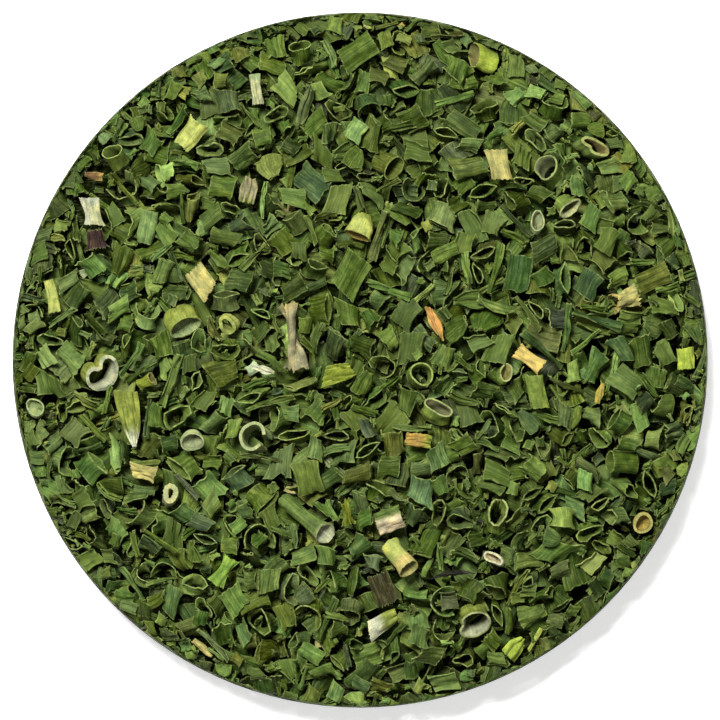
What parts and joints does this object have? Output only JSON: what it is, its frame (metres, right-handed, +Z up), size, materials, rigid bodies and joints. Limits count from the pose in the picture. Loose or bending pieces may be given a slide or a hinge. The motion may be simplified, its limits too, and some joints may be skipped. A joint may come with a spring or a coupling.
{
  "type": "heap of dried chopped chives",
  "caption": "Round low heap of dried chopped chives: loose hollow leaf slices, open rings, cups, curls and plates resting on a matted bed of the same.",
  "frame": {"origin": "centre of the flat underside, on the axis of the round outline", "axes": "+Z up through the heap, square to its flat underside; +Y towards the far rim and +X to the right, seen from above"},
  "size_m": [0.096, 0.096, 0.0137],
  "materials": {
    "matted_leaf": "dull dried leaf, packed in layers, mid green with near-black gaps",
    "green_leaf": "dull dried leaf, mid green, fine lengthwise fibres",
    "olive_leaf": "dull dried leaf, olive green, fine lengthwise fibres",
    "lime_leaf": "dull dried leaf, yellow green, fine lengthwise fibres",
    "pale_leaf": "dull dried leaf, pale greenish white",
    "cream_leaf": "dull dried leaf, cream to straw yellow",
    "tan_leaf": "dull dried leaf, tan to orange brown",
    "dark_leaf": "dull dried leaf, brown black"
  },
  "bodies": {
    "root": {"bright_saddle_centre": "lime_leaf", "brown_chip_northwest": "tan_leaf", "cream_bow_east": "cream_leaf", "cream_crumple_east": "cream_leaf", "cream_oval_southwest": "cream_leaf", "cream_ring_east": "cream_leaf", "cream_ring_southeast": "cream_leaf", "cream_strip_north": "cream_leaf", "dark_chip_northwest": "dark_leaf", "dark_plate_south": "dark_leaf", "dark_stalk_southeast": "dark_leaf", "green_saddle_east": "green_leaf", "heart_curl_west": "pale_leaf", "ladder_ring_southeast": "green_leaf", "large_ring_northeast": "pale_leaf", "lime_chip_southeast": "lime_leaf", "lime_saddle_northwest": "lime_leaf", "lime_saddle_southwest": "lime_leaf", "lime_square_far_east": "lime_leaf", "lime_strip_west": "lime_leaf", "lime_tube_northeast": "lime_leaf", "lime_tube_south": "lime_leaf", "long_cup_south": "green_leaf", "matted_bed": "matted_leaf", "olive_plate_east": "olive_leaf", "open_tube_north": "olive_leaf", "orange_chip_southeast": "tan_leaf", "orange_tip_east": "tan_leaf", "orange_tube_west": "tan_leaf", "pale_blade_west": "pale_leaf", "pale_cup_northeast": "pale_leaf", "pale_curl_northeast": "cream_leaf", "pale_disc_far_west": "pale_leaf", "pale_ring_southwest": "pale_leaf", "pale_saddle_northeast": "cream_leaf", "ragged_strip_south": "lime_leaf", "ring_centre": "green_leaf", "ring_north": "green_leaf", "ring_northwest": "green_leaf", "small_ring_west": "lime_leaf", "striped_saddle_south": "cream_leaf", "tan_chip_north": "tan_leaf", "tan_curl_centre": "cream_leaf", "tan_saddle_southwest": "cream_leaf", "tube_east": "green_leaf", "white_oval_northeast": "pale_leaf", "white_oval_southeast": "pale_leaf", "white_saddle_northwest": "pale_leaf", "white_saddle_south": "pale_leaf", "white_sliver_south": "pale_leaf", "white_sliver_west": "pale_leaf", "wide_cup_west": "lime_leaf", "wide_curl_southeast": "pale_leaf", "wide_curl_southwest": "pale_leaf", "wide_plate_centre": "green_leaf", "wide_plate_north": "green_leaf", "wrinkled_sheath_west": "cream_leaf", "yellow_diamond_west": "cream_leaf", "yellow_saddle_north": "lime_leaf", "yellow_strip_east": "tan_leaf"}
  },
  "joints": []
}
